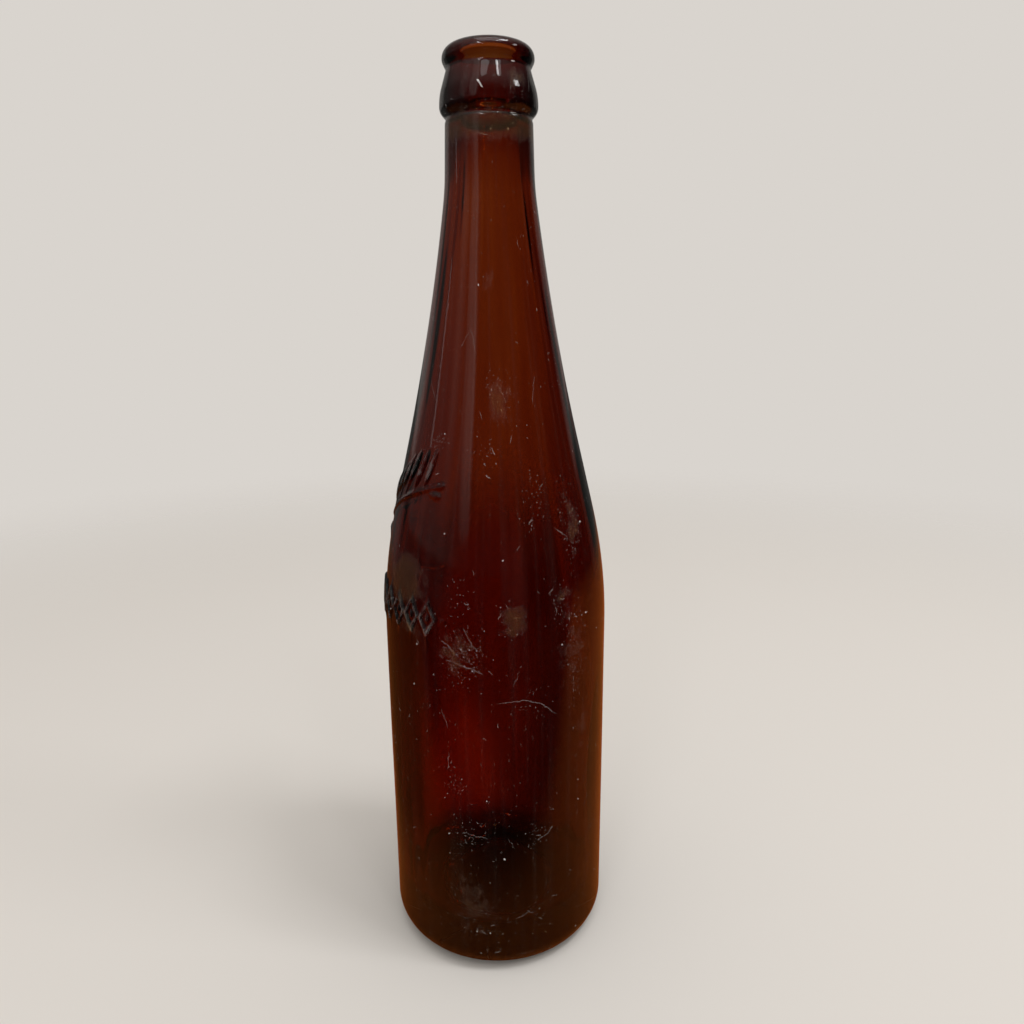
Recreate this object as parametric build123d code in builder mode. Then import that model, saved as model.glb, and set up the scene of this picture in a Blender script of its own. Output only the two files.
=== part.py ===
"""Old amber beer bottle with a crown finish: one piece of blown glass, open and empty.

Millimetres, +Z up the bottle's axis, origin at the middle of the standing ring.
The wall of glass is drawn once, as a section in the X-Z plane, and turned about Z. Its
straight runs are given by the corners where they would meet, and each corner has the
radius of the arc that rounds it.
"""

import os
from math import atan2, tan

from build123d import *

# Outside of the body, shoulder and neck
HEIGHT = 284.0  # standing ring to the top of the lip
BODY_RADIUS = 36.8
SHOULDER_HEIGHT = 129.8  # where the wall and the shoulder cone would meet
CONE_HEIGHT = 205.7  # where the shoulder cone and the neck cone would meet
CONE_RADIUS = 19.0
NECK_HEIGHT = 246.2  # where the neck cone and the neck would meet
NECK_RADIUS = 13.5
NECK_TOP_HEIGHT = 264.0
NECK_TOP_RADIUS = 12.95

# Crown finish: a collar that tapers up to a groove under a round lip
NOTCH_HEIGHT = 265.0
NOTCH_RADIUS = 12.5
COLLAR_LOW_HEIGHT = 267.2
COLLAR_HIGH_HEIGHT = 270.9
COLLAR_RADIUS = 14.45
GROOVE_HEIGHT = 278.1
GROOVE_RADIUS = 12.25
LIP_HEIGHT = 280.4
LIP_RADIUS = 13.4

# Thickness of the glass
BODY_WALL = 4.3
CONE_WALL = 3.9
NECK_WALL = 3.4
BASE_THICKNESS = 6.5
BORE_RADIUS = 7.8  # at the mouth
BORE_HEIGHT = 272.0  # where the throat has narrowed to the bore

# Standing ring, with the base pushed up inside it
RING_RADIUS = 25.5  # the ring's inner edge
PUSH_UP = 3.2

# Arcs that round the corners
HEEL_ROUND = 8.0
SHOULDER_ROUND = 172.0
CONE_ROUND = 750.0
NECK_ROUND = 84.0
NECK_TOP_ROUND = 0.7
NOTCH_ROUND = 0.8
COLLAR_LOW_ROUND = 2.6
COLLAR_HIGH_ROUND = 16.0
GROOVE_ROUND = 0.9
LIP_LOW_ROUND = 1.5
LIP_HIGH_ROUND = 3.1
MOUTH_ROUND = 2.4
THROAT_ROUND = 30.0
FLOOR_ROUND = 12.0

# The cavity follows the outside, and the wall keeps its thickness round the shoulder,
# so the cavity's shoulder corner sits a little lower than the outer one.
cavity_radius = BODY_RADIUS - BODY_WALL
cone_angle = atan2(BODY_RADIUS - CONE_RADIUS, CONE_HEIGHT - SHOULDER_HEIGHT)
cavity_shoulder_height = SHOULDER_HEIGHT - BODY_WALL * tan(cone_angle / 2)
floor_edge = (cavity_radius, BASE_THICKNESS)
floor_middle = (0, PUSH_UP + BASE_THICKNESS)

# Each corner of the section, as radius, height and rounding, from the standing ring up
# the outside, over the lip and down the cavity's wall.
outside = [
    (BODY_RADIUS, 0, HEEL_ROUND),
    (BODY_RADIUS, SHOULDER_HEIGHT, SHOULDER_ROUND),
    (CONE_RADIUS, CONE_HEIGHT, CONE_ROUND),
    (NECK_RADIUS, NECK_HEIGHT, NECK_ROUND),
    (NECK_TOP_RADIUS, NECK_TOP_HEIGHT, NECK_TOP_ROUND),
]
finish = [
    (NOTCH_RADIUS, NOTCH_HEIGHT, NOTCH_ROUND),
    (COLLAR_RADIUS, COLLAR_LOW_HEIGHT, COLLAR_LOW_ROUND),
    (COLLAR_RADIUS, COLLAR_HIGH_HEIGHT, COLLAR_HIGH_ROUND),
    (GROOVE_RADIUS, GROOVE_HEIGHT, GROOVE_ROUND),
    (LIP_RADIUS, LIP_HEIGHT, LIP_LOW_ROUND),
    (LIP_RADIUS, HEIGHT, LIP_HIGH_ROUND),
]
cavity = [
    (BORE_RADIUS, HEIGHT, MOUTH_ROUND),
    (BORE_RADIUS, BORE_HEIGHT, THROAT_ROUND),
    (NECK_RADIUS - NECK_WALL, NECK_HEIGHT, NECK_ROUND),
    (CONE_RADIUS - CONE_WALL, CONE_HEIGHT, CONE_ROUND),
    (cavity_radius, cavity_shoulder_height, SHOULDER_ROUND),
]
corners = outside + finish + cavity

with BuildPart() as bottle:
    with BuildSketch(Plane.XZ) as section:
        with BuildLine() as outline:
            FilletPolyline(
                (RING_RADIUS, 0),
                *[(radius, height) for radius, height, _ in corners],
                floor_edge,
                radius=[rounding for _, _, rounding in corners],
            )
            TangentArc(floor_middle, floor_edge, tangent=(1, 0))
            Line(floor_middle, (0, PUSH_UP))
            TangentArc((0, PUSH_UP), (RING_RADIUS, 0), tangent=(1, 0))
        make_face()
        fillet(section.vertices().sort_by_distance(floor_edge)[0], FLOOR_ROUND)
    revolve(axis=Axis.Z)
bottle.part.label = "bottle"

os.makedirs("parts", exist_ok=True)
export_step(bottle.part, "parts/bottle.step")
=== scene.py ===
import math

import bpy
import numpy as np
from mathutils import Matrix, Quaternion, Vector


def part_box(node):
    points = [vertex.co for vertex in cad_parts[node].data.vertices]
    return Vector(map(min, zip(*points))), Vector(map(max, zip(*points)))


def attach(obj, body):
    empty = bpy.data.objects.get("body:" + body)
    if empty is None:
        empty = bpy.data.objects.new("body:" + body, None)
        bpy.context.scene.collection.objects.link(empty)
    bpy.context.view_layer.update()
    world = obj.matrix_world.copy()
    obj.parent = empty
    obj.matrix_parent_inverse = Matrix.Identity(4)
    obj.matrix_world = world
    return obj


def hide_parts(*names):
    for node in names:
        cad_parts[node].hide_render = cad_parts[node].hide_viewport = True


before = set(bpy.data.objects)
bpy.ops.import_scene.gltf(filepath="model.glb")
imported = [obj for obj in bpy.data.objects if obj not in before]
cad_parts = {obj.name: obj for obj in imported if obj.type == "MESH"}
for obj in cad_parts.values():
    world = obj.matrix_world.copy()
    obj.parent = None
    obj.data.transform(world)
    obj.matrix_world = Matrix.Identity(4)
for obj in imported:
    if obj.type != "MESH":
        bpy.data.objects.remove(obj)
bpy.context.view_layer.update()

# The glass is drawn in millimetres and degrees and made in metres. A turn of 0 degrees is
# the front, -Y, and turns grow towards +X.
MM = 0.001
low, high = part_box("bottle")
BODY_RADIUS = (high[0] - low[0]) / 2 / MM
LIP_TOP = (high[2] - low[2]) / MM

# ---------------------------------------------------------------- outline of the glass
# Corners of the section as radius, height and the radius of the arc that rounds them.
UNDERSIDE = [(0, 3.2, 0), (12.5, 3.2, 100), (25.5, 0, 3)]
WALL = [(BODY_RADIUS, 0, 8), (BODY_RADIUS, 129.8, 172), (19, 205.7, 750), (13.5, 246.2, 84)]
FINISH = [
    (12.95, 264.0, 0.7),
    (12.5, 265, 0.8),
    (14.45, 267.2, 2.6),
    (14.45, 270.9, 16),
    (12.25, 278.1, 0.9),
    (13.4, 280.4, 1.5),
    (13.4, LIP_TOP, 3.1),
]
THROAT = [(7.8, LIP_TOP, 2.4), (7.8, 272, 30), (10.1, 246.2, 84), (15.1, 205.7, 750)]
CAVITY = [(32.5, 129.3, 172), (32.5, 6.5, 12), (10.5, 9.7, 140), (0, 9.7, 0)]
# The inside of the glass begins here, on the top of the lip.
LIP_MIDDLE_RADIUS = 10.25

# Bands of the section that need closer rows, or may do with wider ones: start and end
# height, then the gap between rows outside and inside.
PLAIN_GAPS = (3.4, 5.5)
BAND_GAPS = (
    (-1, 20, 0.95, 1.6),
    (116, 128, 0.42, 5),
    (143, 173, 0.52, 5),
    (173, 262, 2.2, 5.5),
    (262, LIP_TOP + 1, 0.42, 0.7),
)

# The front mould seam, with its twin at the back, and the middle of the raised ornament.
SEAM_TURN = 9.5
SEAM_WIDTH = 0.8
SEAM_RISE = 0.13
ORNAMENT_TURN = -80
RELIEF = 0.75
SEAM_TURNS = (SEAM_TURN, SEAM_TURN - 180)

BACKDROP = "D9D4CE"

# Worn places on the outside: turn, height, half size round in degrees, half size up and
# strength. Scuffs are specks and scratches, and film is dried dirt that won't wash off. It
# lies in patches and all round under the collar.
SCUFFED = (
    (0, 60, 200, 70, 0.05),
    (-14, 112, 15, 13, 1.1),
    (-15, 130, 9, 8, 0.7),
    (9, 123, 9, 9, 0.45),
    (37, 126, 12, 13, 0.5),
    (47, 148, 11, 16, 0.8),
    (-2, 171, 8, 7, 0.5),
    (24, 156, 10, 14, 0.5),
    (44, 108, 12, 22, 0.45),
    (18, 95, 14, 10, 0.35),
    (-20, 68, 7, 6, 0.8),
    (20, 51, 6, 6, 0.9),
    (-12, 51, 12, 6, 0.6),
    (0, 20, 60, 14, 0.12),
    (7, 187, 12, 10, 0.3),
    (-35, 174, 8, 5, 0.8),
    (34, 272, 22, 6, 0.6),
    (0, 263, 360, 4.5, 0.3),
    (120, 90, 60, 60, 0.35),
    (-130, 70, 50, 50, 0.35),
)
FILMED = (
    (-50, 132, 24, 11.5, 1.0),
    (-18, 113, 13, 12, 0.55),
    (10, 123, 11, 9, 0.7),
    (36, 127, 10, 10, 0.45),
    (5, 186, 15, 10, 0.72),
    (-2, 219, 13, 6, 0.45),
    (34, 273, 26, 6, 0.62),
    (0, 261.5, 360, 6.4, 0.85),
    (48, 148, 10, 14, 0.6),
    (40, 108, 13, 22, 0.4),
    (48, 84, 9, 12, 0.5),
    (-12, 26, 15, 22, 0.5),
    (-45, 118, 16, 7, 0.5),
    (150, 110, 30, 30, 0.6),
)
# The longest scratches: middle turn and height, slope in degrees, length and bow.
LONG_SCRATCHES = (
    (17, 94.2, -19, 21, 3.6),
    (-13, 108.8, -17, 13, 0.9),
    (-20, 114.5, -38, 8, 0.7),
    (-9, 51.5, -9, 9, 0.8),
    (-9, 118, -58, 9, -0.6),
    (26, 51, 32, 7, -0.7),
)


def linear(code):
    """Linear colour of an sRGB hex code, with alpha 1: a level up to 0.04045 is divided by
    12.92, and a higher one is ((level + 0.055) / 1.055)^2.4."""
    levels = np.array([int(code[i:i + 2], 16) for i in (0, 2, 4)]) / 255
    levels = np.where(levels <= 0.04045, levels / 12.92, ((levels + 0.055) / 1.055) ** 2.4)
    return (*levels.tolist(), 1)


def smooth(values, start, end):
    """0 before start, 1 after end and the cubic 3t^2 - 2t^3 between."""
    t = np.clip((values - start) / (end - start), 0, 1)
    return t * t * (3 - 2 * t)


def rounded_outline(corners, step):
    """The run through the corners, each rounded by the arc of its radius that touches both
    its runs: the centre lies on the bisector, radius / sin(half the corner) away."""
    corners = np.array(corners, float)
    spots = corners[:, :2]
    line = [spots[:1]]
    rounds = corners[1:-1, 2]
    for before, corner, after, radius in zip(spots[:-2], spots[1:-1], spots[2:], rounds):
        back = (before - corner) / np.linalg.norm(before - corner)
        ahead = (after - corner) / np.linalg.norm(after - corner)
        half = math.acos(np.dot(back, ahead)) / 2
        inward = (back + ahead) / np.linalg.norm(back + ahead)
        centre = corner + inward * radius / math.sin(half)
        swing = (math.pi / 2 - half) * np.sign(back[0] * ahead[1] - back[1] * ahead[0])
        count = max(3, math.ceil(2 * abs(swing) * radius / step))
        turn = np.linspace(swing, -swing, count) + math.atan2(-inward[1], -inward[0])
        line.append(centre + radius * np.stack([np.cos(turn), np.sin(turn)], 1))
    return np.vstack(line + [spots[-1:]])


def spread(reach, gap):
    """Positions along a length, reach, that lie gap apart, where gap is known at each reach:
    equal steps of the integral of 1 / gap."""
    steps = np.concatenate([[0], np.cumsum(np.diff(reach) * 2 / (gap[1:] + gap[:-1]))])
    return np.interp(np.linspace(0, steps[-1], math.ceil(steps[-1]) + 1), steps, reach)


def section_rows():
    """Rows of the section as radius, height and whether they are on the outside of the
    glass. The section is walked in fine steps, each step gets the gap between rows that its
    band has, and the rows are spread by those gaps."""
    line = rounded_outline(UNDERSIDE + WALL + FINISH + THROAT + CAVITY, 0.1)
    length = np.concatenate([[0], np.cumsum(np.hypot(*np.diff(line, axis=0).T))])
    reach = np.linspace(0, length[-1], 12000)
    radius = np.interp(reach, length, line[:, 0])
    height = np.interp(reach, length, line[:, 1])
    turned_in = (height > LIP_TOP - 0.01) & (radius < LIP_MIDDLE_RADIUS)
    lip_reach = reach[np.argmax(turned_in)]
    inside = reach > lip_reach
    outer_gap, inner_gap = PLAIN_GAPS
    gap = np.where(inside, inner_gap, outer_gap)
    for start, end, outer_gap, inner_gap in BAND_GAPS:
        band = (height > start) & (height < end)
        gap = np.where(band, np.where(inside, inner_gap, outer_gap), gap)
    pushed_up = ~inside & (radius < 24) & (height < 4)
    gap = np.where(pushed_up, 2.5, gap)
    rows = spread(reach, gap)
    return np.interp(rows, reach, radius), np.interp(rows, reach, height), rows < lip_reach


def column_turns():
    """Turns of the columns in radians, close together on the ornament and the seams."""
    ornament_reach, seam_reach = 55, 1.8
    turn = np.linspace(-180, 180, 7201)
    gap = np.full(turn.size, 1.7)
    gap[np.abs(turn - ORNAMENT_TURN) < ornament_reach] = 0.45
    for seam in SEAM_TURNS:
        gap[np.abs(turn - seam) < seam_reach] = 0.24
    around = np.radians(turn) * BODY_RADIUS
    return spread(around, gap)[:-1] / BODY_RADIUS


def ridge(distance, width, rise):
    """Half-round ridge: rise * sqrt(1 - (2 distance / width)^2)."""
    return rise * np.sqrt(np.clip(1 - (2 * distance / width) ** 2, 0, 1))


def grain(along, across, length, width, rise):
    """Raised grain: the upper half of an ellipsoid of that length and width, rise *
    sqrt(1 - (2 along / length)^2 - (2 across / width)^2)."""
    left_over = 1 - (2 * along / length) ** 2 - (2 * across / width) ** 2
    return rise * np.sqrt(np.clip(left_over, 0, 1))


def leaning(around, height, foot_around, foot_height, lean):
    """Distances along and across a line that leans by that angle from the level at a foot."""
    right, up = around - foot_around, height - foot_height
    along = right * math.cos(lean) + up * math.sin(lean)
    across = up * math.cos(lean) - right * math.sin(lean)
    return along, across


def barley_spray(around, height):
    """A bowed stalk that climbs to the right, height = 150.2 + 0.62 a - 0.0077 a |a|, with
    long grains that lean over it on thin stems, and a few leaves under it."""
    def stalk(a):
        return 150.2 + 0.62 * a - 0.0077 * a * np.abs(a)

    stalk_half_length, grain_pitch, grain_length, grain_tops = 26, 4.2, 11.8, 159.7
    past_end = np.maximum(np.abs(around) - stalk_half_length, 0)
    upright = (height - stalk(around)) * 0.88
    rise = ridge(np.hypot(upright, past_end), 1.5, RELIEF * 0.6)
    for foot in 19 - grain_pitch * np.arange(10):
        gap = np.clip(grain_tops - stalk(foot), 0.8, 4.2)
        lean = math.radians(np.clip(62 + 1.3 * (foot - 4), 60, 80))
        along, across = leaning(around, height, foot, stalk(foot) + gap, lean)
        barley = grain(along - grain_length / 2, across, grain_length, 2.4, RELIEF)
        past_stem = np.maximum(-along - gap, 0) + np.maximum(along, 0)
        stem = ridge(np.hypot(across, past_stem), 0.8, RELIEF * 0.35)
        rise = np.maximum(rise, np.maximum(barley, stem))
    for foot, length in ((-19, 8.4), (-9, 8.4), (21.6, 5)):
        along, across = leaning(around, height, foot, stalk(foot) - 1.2, math.radians(-12))
        rise = np.maximum(rise, grain(along - length / 2, across, length, 2.2, RELIEF * 0.7))
    return rise


def lozenge_band(around, height):
    """A level row of hollow lozenges, |x| / half width + |y| / half height = 1, each with
    a small boss in it, and a boss at each end of the row."""
    pitch, half_width, half_height, level, end = 6.6, 2.75, 4.7, 121.8, 35.2
    slope = math.hypot(1 / half_width, 1 / half_height)
    up = height - level
    rise = np.zeros(around.shape)
    for place in (np.arange(10) - 4.5) * pitch:
        right = around - place
        off = np.abs(right) / half_width + np.abs(up) / half_height - 1
        rise = np.maximum(rise, ridge(off / slope, 1.3, RELIEF))
        rise = np.maximum(rise, grain(up, right, 3.0, 1.6, RELIEF * 0.8))
    for place in (-end, end):
        rise = np.maximum(rise, grain(around - place, up, 1.7, 1.7, RELIEF * 0.8))
    return rise


def unevenness(turn, height, size, seed):
    """Slow waves of old blown glass: a sum of cosines round the bottle times cosines up it,
    at most size millimetres high together, with long shallow draw lines up the wall."""
    chance = np.random.default_rng(seed)
    waves = ((1, 190), (2, 120), (3, 260), (5, 90), (7, 150), (9, 60), (12, 210))
    draw_lines = ((17, 420), (22, 330), (29, 510))
    total = np.zeros(turn.shape)
    for group, share in ((waves, size / len(waves)), (draw_lines, size * 0.055)):
        for times, length in group:
            phase, lift = chance.uniform(0, 2 * math.pi, 2)
            up = 2 * math.pi * height / length + lift
            total += share * np.cos(times * turn + phase) * np.cos(up)
    return total


def worn_places(turn, height, places):
    """The sum over the places of strength * (1 - d^2)^2 where d, the distance from the
    middle in half sizes, is under 1."""
    total = np.zeros(turn.shape)
    for middle, level, half_turn, half_height, strength in places:
        off = np.degrees((turn - math.radians(middle) + math.pi) % (2 * math.pi) - math.pi)
        far = (off / half_turn) ** 2 + ((height - level) / half_height) ** 2
        total += strength * (1 - np.minimum(far, 1)) ** 2
    return total


def turned_wall(radius, height, outside):
    """The section's rows turned through the columns, as grids of turn, height, side, radius
    and relief. The radius is moved by the waves, by two seams, each a bell curve
    exp(-(2 d / width)^2) across, and by the ornament."""
    turn, r = np.meshgrid(column_turns(), radius)
    h = np.repeat(height[:, None], turn.shape[1], 1)
    out = np.repeat(outside[:, None], turn.shape[1], 1)

    wall = smooth(h, 12, 30) * (1 - smooth(h, 240, 262))
    rise = np.where(out, unevenness(turn, h, 0.16, 5), unevenness(turn, h, 0.9, 11)) * wall
    # The seams run from the heel to just under the finish, and are worn low on the body.
    seam_length = smooth(h, 3, 8) * (1 - smooth(h, 255, 263)) * out
    seam_length = seam_length * (0.35 + 0.65 * smooth(h, 130, 190))
    for seam in SEAM_TURNS:
        off = (turn - math.radians(seam) + math.pi) % (2 * math.pi) - math.pi
        rise += SEAM_RISE * np.exp(-(off * r / SEAM_WIDTH * 2) ** 2) * seam_length
    around = (turn - math.radians(ORNAMENT_TURN)) * r
    relief = np.maximum(barley_spray(around, h), lozenge_band(around, h)) * out
    return turn, h, out, r + rise + relief, relief


def closed_faces(row_count, column_count):
    """Faces over points that are two poles and then the rows of a grid: quads that close
    round the columns, and a fan of triangles to a pole at each end. Returns the faces and
    which corners of them have gone all the way round."""
    row, column = np.meshgrid(np.arange(row_count - 1), np.arange(column_count), indexing="ij")
    right = (column + 1) % column_count
    corner = 2 + row * column_count
    ring = np.stack([corner + column, corner + right], -1)
    quads = np.concatenate([ring, ring[..., ::-1] + column_count], -1).reshape(-1, 4)
    start, last = np.arange(column_count), 2 + (row_count - 1) * column_count
    after = (start + 1) % column_count
    first_fan = np.stack([np.zeros_like(start), 2 + after, 2 + start], -1)
    last_fan = np.stack([np.ones_like(start), last + start, last + after], -1)
    faces = quads.tolist() + first_fan.tolist() + last_fan.tolist()

    closing = right == 0
    never = np.zeros_like(closing)
    gone_round = np.zeros(quads.size + first_fan.size + last_fan.size, bool)
    gone_round[: quads.size] = np.stack([never, closing, closing, never], -1).ravel()
    return faces, gone_round


def bottle_glass():
    """The whole wall of glass as one closed surface: the section turned about Z, with a
    pole on the axis at each end of it."""
    radius, height, outside = section_rows()
    turn, h, out, r, relief = turned_wall(radius[1:-1], height[1:-1], outside[1:-1])
    pole_heights = [height[0], height[-1]]
    poles = np.array([[0, 0, level] for level in pole_heights])
    grid = np.stack([r * np.sin(turn), -r * np.cos(turn), h], -1).reshape(-1, 3)
    points = np.vstack([poles, grid]) * MM
    points[:, 2] += low[2]
    faces, gone_round = closed_faces(*turn.shape)

    mesh = bpy.data.meshes.new("bottle_glass")
    mesh.from_pydata(points.tolist(), [], faces)
    mesh.polygons.foreach_set("use_smooth", np.ones(len(mesh.polygons), bool))

    # The wall laid out flat, in millimetres: distance round the body and height.
    flat_turn = np.concatenate([[0, 0], turn.ravel()])
    flat_height = np.concatenate([pole_heights, h.ravel()])
    used = np.empty(len(mesh.loops), int)
    mesh.loops.foreach_get("vertex_index", used)
    flat = np.stack([flat_turn[used] * BODY_RADIUS, flat_height[used]], -1)
    flat[gone_round, 0] += 2 * math.pi * BODY_RADIUS
    mesh.uv_layers.new(name="flat_wall").data.foreach_set("uv", flat.ravel())
    for name, values in (
        ("scuffed", worn_places(turn, h, SCUFFED) * out),
        ("filmed", worn_places(turn, h, FILMED) * out),
        ("raised", smooth(relief, RELIEF * 0.6, RELIEF)),
        ("outside", out),
    ):
        with_poles = np.concatenate([[0, 0], values.ravel()]).astype(np.float32)
        mesh.attributes.new(name, "FLOAT", "POINT").data.foreach_set("value", with_poles)
    mesh.validate()

    piece = bpy.data.objects.new("bottle_glass", mesh)
    bpy.context.collection.objects.link(piece)
    return piece


# ---------------------------------------------------------------- materials
def add(tree, kind, *inputs, named=None, **settings):
    """Adds a node with its settings, and links or sets its inputs: plain ones in the order
    of the inputs in use, and named ones by name. A node given as an input stands for its
    first output in use."""
    made = tree.nodes.new(kind)
    for name, value in settings.items():
        setattr(made, name, value)
    sockets = [socket for socket in made.inputs if socket.enabled]
    pairs = list(zip(sockets, inputs))
    for name, value in (named or {}).items():
        pairs.append((next(socket for socket in sockets if socket.name == name), value))
    for socket, value in pairs:
        if isinstance(value, bpy.types.Node):
            value = next(output for output in value.outputs if output.enabled)
        if isinstance(value, bpy.types.NodeSocket):
            tree.links.new(value, socket)
        else:
            socket.default_value = value
    return made


def marks(tree, flat, cell, half_length, half_width, share, seed):
    """Random marks on the flat wall, all in millimetres: one in each cell of a random
    pattern, an ellipse turned and shrunk by the cell's own random numbers, and shown in
    that share of the cells. It is 1 within half of the ellipse and 0 outside it. The seed
    moves the pattern, so that no two layers match."""
    place = add(tree, "ShaderNodeVectorMath", flat, (37.7 * seed, 19.3 * seed, 0), operation="ADD")
    cells = add(
        tree,
        "ShaderNodeTexVoronoi",
        named={"Vector": place, "Scale": 1 / cell},
        voronoi_dimensions="2D",
    )
    middle = cells.outputs["Position"]
    chance = add(tree, "ShaderNodeSeparateColor", cells.outputs["Color"])
    off = add(tree, "ShaderNodeVectorMath", place, middle, operation="SUBTRACT")
    turn = add(tree, "ShaderNodeMath", chance.outputs["Red"], 2 * math.pi, operation="MULTIPLY")
    turned = add(
        tree,
        "ShaderNodeVectorRotate",
        named={"Vector": off, "Angle": turn},
        rotation_type="Z_AXIS",
    )
    shrink = (1 / half_length, 1 / half_width, 0)
    sized = add(tree, "ShaderNodeVectorMath", turned, shrink, operation="MULTIPLY")
    far = add(tree, "ShaderNodeVectorMath", sized, operation="LENGTH").outputs["Value"]
    size = add(tree, "ShaderNodeMath", chance.outputs["Blue"], 0.6, 0.4, operation="MULTIPLY_ADD")
    far = add(tree, "ShaderNodeMath", far, size, operation="DIVIDE")
    shape = add(tree, "ShaderNodeMapRange", far, 1.0, 0.5, interpolation_type="SMOOTHSTEP")
    shown = add(tree, "ShaderNodeMath", chance.outputs["Green"], share, operation="LESS_THAN")
    return add(tree, "ShaderNodeMath", shape, shown, operation="MULTIPLY")


def long_scratch(tree, flat, turn, height, slope, length, bow):
    """One bowed hairline on the flat wall: |across - bow (1 - t^2)| under half its width,
    where t runs from -1 to 1 along it."""
    line = add(
        tree,
        "ShaderNodeMapping",
        named={
            "Vector": flat,
            "Location": (math.radians(turn) * BODY_RADIUS, height, 0),
            "Rotation": (0, 0, math.radians(slope)),
            "Scale": (length / 2, 1, 1),
        },
        vector_type="TEXTURE",
    )
    along, across, _ = add(tree, "ShaderNodeSeparateXYZ", line).outputs
    square = add(tree, "ShaderNodeMath", along, along, operation="MULTIPLY")
    bowed = add(tree, "ShaderNodeMath", square, bow, across, operation="MULTIPLY_ADD")
    off = add(tree, "ShaderNodeMath", bowed, bow, operation="SUBTRACT")
    off = add(tree, "ShaderNodeMath", off, operation="ABSOLUTE")
    ends = add(tree, "ShaderNodeMapRange", square, 1.0, 0.5, interpolation_type="SMOOTHSTEP")
    hair = add(tree, "ShaderNodeMapRange", off, 0.22, 0.05, interpolation_type="SMOOTHSTEP")
    return add(tree, "ShaderNodeMath", hair, ends, operation="MULTIPLY")


def scuffs(tree, wall, scuffed):
    """Specks, chips and scratches: the sum of all marks and long scratches, each times how
    opaque it is."""
    # Nothing worn is quite straight or round: waves about 3 mm long bend the marks by
    # about half a millimetre.
    bend = add(
        tree,
        "ShaderNodeTexNoise",
        named={"Vector": wall, "Scale": 0.35, "Detail": 3},
        noise_dimensions="2D",
    ).outputs["Color"]
    flat = add(tree, "ShaderNodeVectorMath", bend, (1.6, 1.6, 0), wall, operation="MULTIPLY_ADD")

    # Cell, half length and half width in millimetres, share of the cells where the glass is
    # whole and where it is most scuffed, and how opaque the mark is.
    layers = (
        (1.3, 0.22, 0.16, 0.018, 0.55, 0.32),
        (7.0, 0.45, 0.32, 0.06, 0.30, 0.60),
        (3.4, 1.6, 0.12, 0.020, 0.50, 0.26),
        (1.1, 0.48, 0.09, 0.000, 0.75, 0.20),
        (14.0, 6.0, 0.13, 0.08, 0.40, 0.16),
    )
    worn = 0.0
    for seed, (cell, half_length, half_width, least, most, opaque) in enumerate(layers):
        share = add(tree, "ShaderNodeMath", scuffed, most - least, least, operation="MULTIPLY_ADD")
        mark = marks(tree, flat, cell, half_length, half_width, share, seed)
        worn = add(tree, "ShaderNodeMath", mark, opaque, worn, operation="MULTIPLY_ADD")
    for place in LONG_SCRATCHES:
        scratch = long_scratch(tree, flat, *place)
        worn = add(tree, "ShaderNodeMath", scratch, 0.11, worn, operation="MULTIPLY_ADD")
    return worn


def dried_film(tree, wall, filmed, ragged):
    """Dried dirt: ragged patches where the noise and the filmed places together pass 1, plus
    thin runs down the wall, about 2.4 mm wide and 80 mm tall."""
    patchy = add(tree, "ShaderNodeMath", ragged, 1.5, filmed, operation="MULTIPLY_ADD")
    film = add(tree, "ShaderNodeMapRange", patchy, 1.0, 1.45, interpolation_type="SMOOTHSTEP")
    tall = add(tree, "ShaderNodeVectorMath", wall, (0.42, 0.012, 0), operation="MULTIPLY")
    runs = add(
        tree,
        "ShaderNodeTexNoise",
        named={"Vector": tall, "Scale": 1.0, "Detail": 4},
        noise_dimensions="2D",
    )
    runs = add(tree, "ShaderNodeMapRange", runs, 0.45, 0.75, interpolation_type="SMOOTHSTEP")
    return add(tree, "ShaderNodeMath", runs, 0.11, film, operation="MULTIPLY_ADD")


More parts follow.
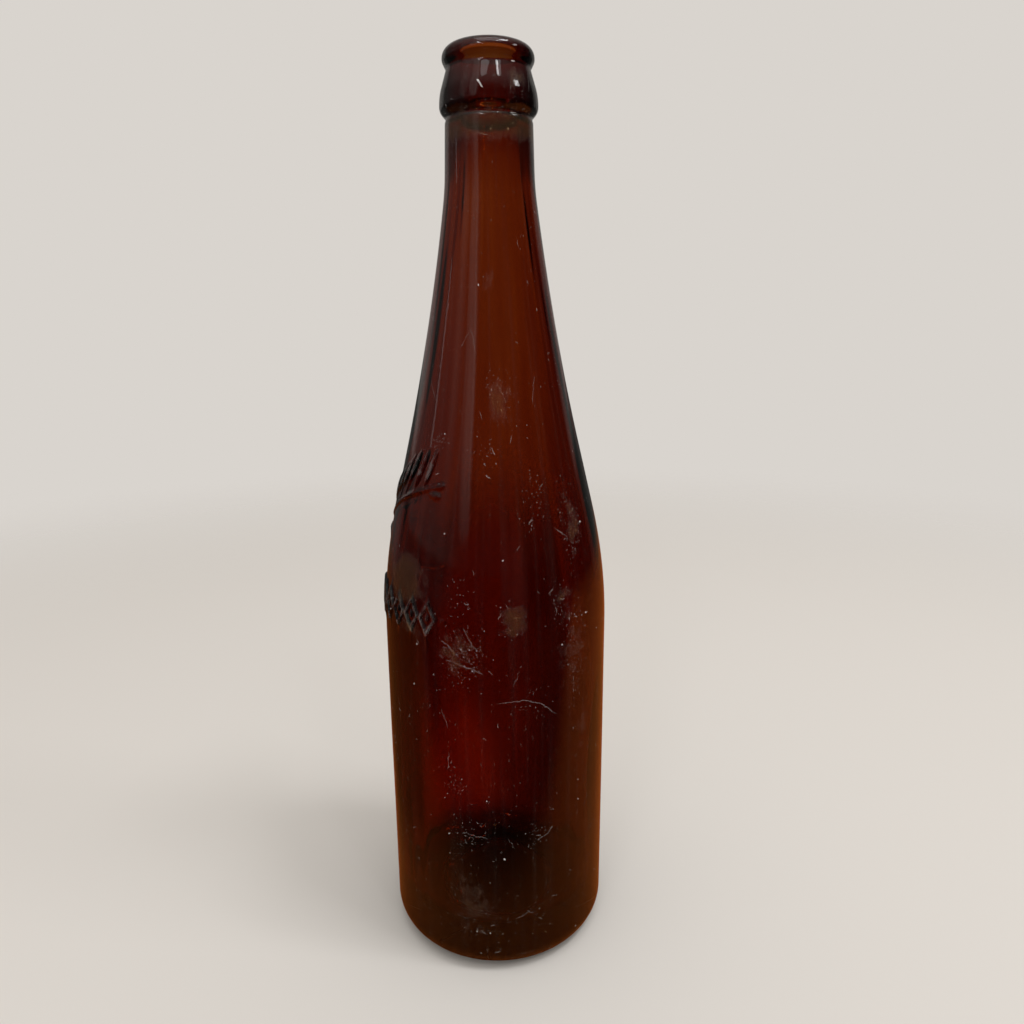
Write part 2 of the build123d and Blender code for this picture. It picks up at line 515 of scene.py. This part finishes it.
def worn_amber_glass():
    """Soda-lime bottle glass coloured amber by iron and sulphur, blown in a mould: smooth
    and glossy, deep red-brown through two walls. Long handling has left pale specks, chips
    and scratches on its outside and rubbed its ornament, and a thin tan film of dried dirt
    dulls it in patches."""
    material = bpy.data.materials.new("worn_amber_bottle_glass")
    material.use_nodes = True
    tree = material.node_tree
    tree.nodes.clear()

    wall = add(tree, "ShaderNodeUVMap", uv_map="flat_wall")
    scuffed, filmed, raised, outside = (
        add(tree, "ShaderNodeAttribute", attribute_name=name).outputs["Fac"]
        for name in ("scuffed", "filmed", "raised", "outside")
    )
    # Ragged shapes about 4.5 mm across.
    ragged = add(
        tree,
        "ShaderNodeTexNoise",
        named={"Vector": wall, "Scale": 0.22, "Detail": 6, "Roughness": 0.7},
        noise_dimensions="2D",
    )
    worn = scuffs(tree, wall, scuffed)
    film = dried_film(tree, wall, filmed, ragged)
    bare = add(tree, "ShaderNodeMapRange", ragged, 0.35, 0.6, interpolation_type="SMOOTHSTEP")
    rubbed = add(tree, "ShaderNodeMath", raised, bare, operation="MULTIPLY")
    for part, opaque in ((rubbed, 0.09), (film, 0.034)):
        worn = add(tree, "ShaderNodeMath", part, opaque, worn, operation="MULTIPLY_ADD")
    worn = add(tree, "ShaderNodeMath", worn, outside, operation="MULTIPLY", use_clamp=True)
    film = add(tree, "ShaderNodeMath", film, outside, operation="MULTIPLY", use_clamp=True)
    roughness = 0.02
    for part, dulling in ((worn, 0.35), (film, 0.13)):
        roughness = add(tree, "ShaderNodeMath", part, dulling, roughness, operation="MULTIPLY_ADD")

    tan, clean = linear("E6B680"), linear("FFFFFF")
    surface = add(
        tree,
        "ShaderNodeBsdfPrincipled",
        named={
            "Base Color": add(tree, "ShaderNodeMix", film, clean, tan, data_type="RGBA"),
            "IOR": 1.52,
            "Roughness": roughness,
            "Transmission Weight": add(tree, "ShaderNodeMath", 1.0, worn, operation="SUBTRACT"),
        },
    )
    # Through 1 mm the glass keeps about 78% of red, 59% of green and 42% of blue.
    taken_per_metre = (250, 535, 870)
    density = 1000
    colour = (*(1 - share / density for share in taken_per_metre), 1)
    depth = add(tree, "ShaderNodeVolumeAbsorption", named={"Color": colour, "Density": density})
    add(tree, "ShaderNodeOutputMaterial", named={"Surface": surface, "Volume": depth})
    return material


def studio_floor():
    """Pale painted board, matt. Through the glass and in its gloss it shows instead as a painted
    reflection of the warm brown of a table top. Painted shade makes it darker in front, on the
    left and in a strip behind the bottle, which keeps amber glass deep and red, and a painted
    pool of light lies behind the bottle's foot. With distance it fades into the backdrop."""
    material = bpy.data.materials.new("pale_matt_board")
    material.use_nodes = True
    tree = material.node_tree
    tree.nodes.clear()
    rays = add(tree, "ShaderNodeLightPath").outputs
    glossy, passed = rays["Is Glossy Ray"], rays["Is Transmission Ray"]
    place = add(tree, "ShaderNodeTexCoord").outputs["Object"]
    right, back, _ = add(tree, "ShaderNodeSeparateXYZ", place).outputs
    behind = add(tree, "ShaderNodeMapRange", back, -0.11, -0.045, interpolation_type="SMOOTHSTEP")
    # A painted pool of light on the table behind the bottle's foot, which shows through the glass.
    spot = add(
        tree,
        "ShaderNodeMapping",
        named={"Vector": place, "Location": (-0.03, 0.066, 0), "Scale": (0.055, 0.125, 1)},
        vector_type="TEXTURE",
    )
    painted_light_pool = add(tree, "ShaderNodeTexGradient", spot, gradient_type="SPHERICAL").outputs["Fac"]
    painted_light_pool = add(tree, "ShaderNodeMapRange", painted_light_pool, 0.0, 0.8, interpolation_type="SMOOTHSTEP")
    colour = linear("EBE7E2")
    # Ray kind, then the painted table's colour: in painted shade in front, lit behind, and in the
    # painted pool of light.
    for ray, front_code, behind_code, light_pool_code in (
        (glossy, "301E16", "B05E2A", "B05E2A"),
        (passed, "2E1D15", "B8682C", "F6904C"),
    ):
        front, back_part, bright = linear(front_code), linear(behind_code), linear(light_pool_code)
        far_table = add(tree, "ShaderNodeMix", painted_light_pool, back_part, bright, data_type="RGBA")
        table = add(tree, "ShaderNodeMix", behind, front, far_table, data_type="RGBA")
        colour = add(tree, "ShaderNodeMix", ray, colour, table, data_type="RGBA")

    # Painted shade: the floor is darkened towards 1A0E08 in a strip behind the bottle, seen
    # through the glass, and on the left, seen through the glass and in its gloss.
    off = add(tree, "ShaderNodeMath", right, 0.045, operation="SUBTRACT")
    off = add(tree, "ShaderNodeMath", off, operation="ABSOLUTE")
    strip = add(
        tree,
        "ShaderNodeMapRange",
        *(off, 0.07, 0.0, 0.0, 0.48),
        interpolation_type="SMOOTHSTEP",
    )
    strip = add(tree, "ShaderNodeMath", strip, passed, operation="MULTIPLY")
    left = add(
        tree,
        "ShaderNodeMapRange",
        *(right, -0.04, -0.11, 0.0, 0.6),
        interpolation_type="SMOOTHSTEP",
    )
    in_glass = add(tree, "ShaderNodeMath", glossy, passed, operation="MAXIMUM")
    shade = add(tree, "ShaderNodeMath", left, in_glass, strip, operation="MULTIPLY_ADD")
    colour = add(tree, "ShaderNodeMix", shade, colour, linear("1A0E08"), data_type="RGBA")
    board = add(tree, "ShaderNodeBsdfDiffuse", colour)
    away = add(tree, "ShaderNodeVectorMath", place, operation="LENGTH").outputs["Value"]
    fade = add(tree, "ShaderNodeMapRange", away, 0.35, 0.9, interpolation_type="SMOOTHSTEP")
    nothing = add(tree, "ShaderNodeBsdfTransparent")
    surface = add(tree, "ShaderNodeMixShader", fade, board, nothing)
    add(tree, "ShaderNodeOutputMaterial", surface)
    return material


def floor():
    """A level disc of radius 1 m under the bottle, just below its standing ring."""
    side_count, clearance = 96, 0.0001
    turn = np.linspace(0, 2 * math.pi, side_count + 1)[:-1]
    level = np.full(side_count, low[2] - clearance)
    rim = np.stack([np.cos(turn), np.sin(turn), level], -1)
    mesh = bpy.data.meshes.new("floor")
    mesh.from_pydata(rim.tolist(), [], [list(range(side_count))])
    made = bpy.data.objects.new("floor", mesh)
    bpy.context.collection.objects.link(made)
    made.data.materials.append(studio_floor())
    return made


def away_from_bottle(turn, elevation):
    """Unit vector from the bottle at a turn and an elevation in degrees: (sin t cos e,
    -cos t cos e, sin e)."""
    turn, elevation = math.radians(turn), math.radians(elevation)
    level = math.cos(elevation)
    return Vector((math.sin(turn) * level, -math.cos(turn) * level, math.sin(elevation)))


def soft_light(tree, direction, turn, elevation, wide, tall):
    """Adds a patch of light in the room, wide x tall degrees large: 1 within half of an
    ellipse about its middle, and fading to 0 at the ellipse."""
    half_wide, half_tall = math.radians(wide) / 2, math.radians(tall) / 2
    patch = add(
        tree,
        "ShaderNodeMapping",
        named={
            "Vector": direction,
            "Location": away_from_bottle(turn, elevation),
            "Rotation": (0, 0, math.radians(turn)),
            "Scale": (math.sin(half_wide), 0.9, math.sin(half_tall)),
        },
        vector_type="TEXTURE",
    )
    falloff = add(tree, "ShaderNodeTexGradient", patch, gradient_type="SPHERICAL").outputs["Fac"]
    return add(tree, "ShaderNodeMapRange", falloff, 0.0, 0.5, interpolation_type="SMOOTHSTEP")


def studio_world():
    """A pale backdrop all round for the camera and through the glass, dimmer high up through
    the glass. In the gloss it shows a room: a wall behind, a dimmer one on the left, a pale
    ceiling and a soft window, and hardly anything in front, so that the face of the bottle
    stays deep. The wall behind is dimmer on the right, and little shows below the table's
    level."""
    world = bpy.data.worlds.new("studio")
    bpy.context.scene.world = world
    world.use_nodes = True
    tree = world.node_tree
    tree.nodes.clear()
    rays = add(tree, "ShaderNodeLightPath").outputs
    direction = add(tree, "ShaderNodeTexCoord").outputs["Generated"]
    right, back, up = add(tree, "ShaderNodeSeparateXYZ", direction).outputs
    room, through = 0.0, 1.0
    for axis, *levels in (
        (back, 0.50, 0.68, 0.03, 0.40),
        (right, -0.45, -0.95, 0.0, 0.16),
        (up, 0.40, 0.95, 0.0, 0.6),
    ):
        wall = add(tree, "ShaderNodeMapRange", axis, *levels, interpolation_type="SMOOTHSTEP")
        room = add(tree, "ShaderNodeMath", wall, room, operation="ADD")
    for turn, elevation, wide, tall, level in (
        (-34, 31, 24, 56, 0.5),
        (-29, 33, 5, 54, 0.3),
        (-44, 30, 5, 46, 0.2),
        (-60, 31, 30, 44, 0.2),
    ):
        window = soft_light(tree, direction, turn, elevation, wide, tall)
        room = add(tree, "ShaderNodeMath", window, level, room, operation="MULTIPLY_ADD")
    for axis, *levels in ((right, 0.45, 0.8, 1.0, 0.55), (up, -0.03, 0.02, 0.28, 1.0)):
        dimmed = add(tree, "ShaderNodeMapRange", axis, *levels, interpolation_type="SMOOTHSTEP")
        room = add(tree, "ShaderNodeMath", room, dimmed, operation="MULTIPLY")
    for levels in ((0.27, 0.34, 0.82, 0.36), (0.5, 0.62, 1.0, 0.3)):
        dimmed = add(tree, "ShaderNodeMapRange", up, *levels, interpolation_type="SMOOTHSTEP")
        through = add(tree, "ShaderNodeMath", through, dimmed, operation="MULTIPLY")

    # A ray that passed through glass counts as glossy too, so it is taken off again.
    gloss = add(
        tree,
        "ShaderNodeMath",
        *(rays["Is Glossy Ray"], rays["Is Transmission Ray"]),
        operation="SUBTRACT",
        use_clamp=True,
    )
    level = 0.75
    for ray, shown in (
        (rays["Is Transmission Ray"], through),
        (rays["Is Camera Ray"], 1.0),
        (gloss, room),
    ):
        level = add(tree, "ShaderNodeMix", ray, level, shown, data_type="FLOAT")
    sky = add(tree, "ShaderNodeBackground", linear(BACKDROP), level)
    add(tree, "ShaderNodeOutputWorld", sky)


def softbox(name, turn, elevation, wide, tall, radiance, roll=0):
    """A rectangular lamp that looks wide x tall degrees large from the bottle, placed by its
    turn and elevation about a point on the axis and facing it, rolled by that many degrees.
    Its sides are 2 distance tan(half the angle), and its power is radiance times pi times
    its area."""
    distance, aim = 1.4, 0.2
    away = away_from_bottle(turn, elevation)
    data = bpy.data.lights.new(name, "AREA")
    data.shape = "RECTANGLE"
    data.size = 2 * distance * math.tan(math.radians(wide) / 2)
    data.size_y = 2 * distance * math.tan(math.radians(tall) / 2)
    data.energy = radiance * math.pi * data.size * data.size_y
    lamp = bpy.data.objects.new(name, data)
    lamp.location = Vector((0, 0, aim)) + away * distance
    facing = away.to_track_quat("Z", "Y") @ Quaternion((0, 0, 1), math.radians(roll))
    lamp.rotation_euler = facing.to_euler()
    bpy.context.collection.objects.link(lamp)


def camera():
    """A phone's wide lens close to the bottle and above its middle, tipped down and leaning
    a little."""
    tip, lean = math.radians(13.915), math.radians(-0.469)
    data = bpy.data.cameras.new("camera")
    data.sensor_width = 36
    data.lens = 27.04
    data.clip_start = 0.01
    made = bpy.data.objects.new("camera", data)
    turned = Matrix.Rotation(math.pi / 2 - tip, 4, "X") @ Matrix.Rotation(lean, 4, "Z")
    made.matrix_world = Matrix.Translation((0.0058, -0.24608, 0.2079)) @ turned
    bpy.context.collection.objects.link(made)
    bpy.context.scene.camera = made


# ---------------------------------------------------------------- the scene
glass = bottle_glass()
glass.data.materials.append(worn_amber_glass())
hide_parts("bottle")
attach(glass, "root")

floor()
studio_world()
softbox("overhead", 10, 72, 40, 40, 1.3)
softbox("door_gap", -92, 11, 3.5, 12, 0.45)
softbox("ceiling_lamp_left", -19.5, 35.5, 19, 2.4, 12, roll=-51)
softbox("ceiling_lamp_middle", 30, 52.5, 3.5, 6, 10)
softbox("ceiling_lamp_right", 76, 36, 10, 8, 9)
softbox("ceiling_lamp_top", 64, 63, 14, 8, 18)
camera()
bpy.context.scene.view_settings.view_transform = "Standard"
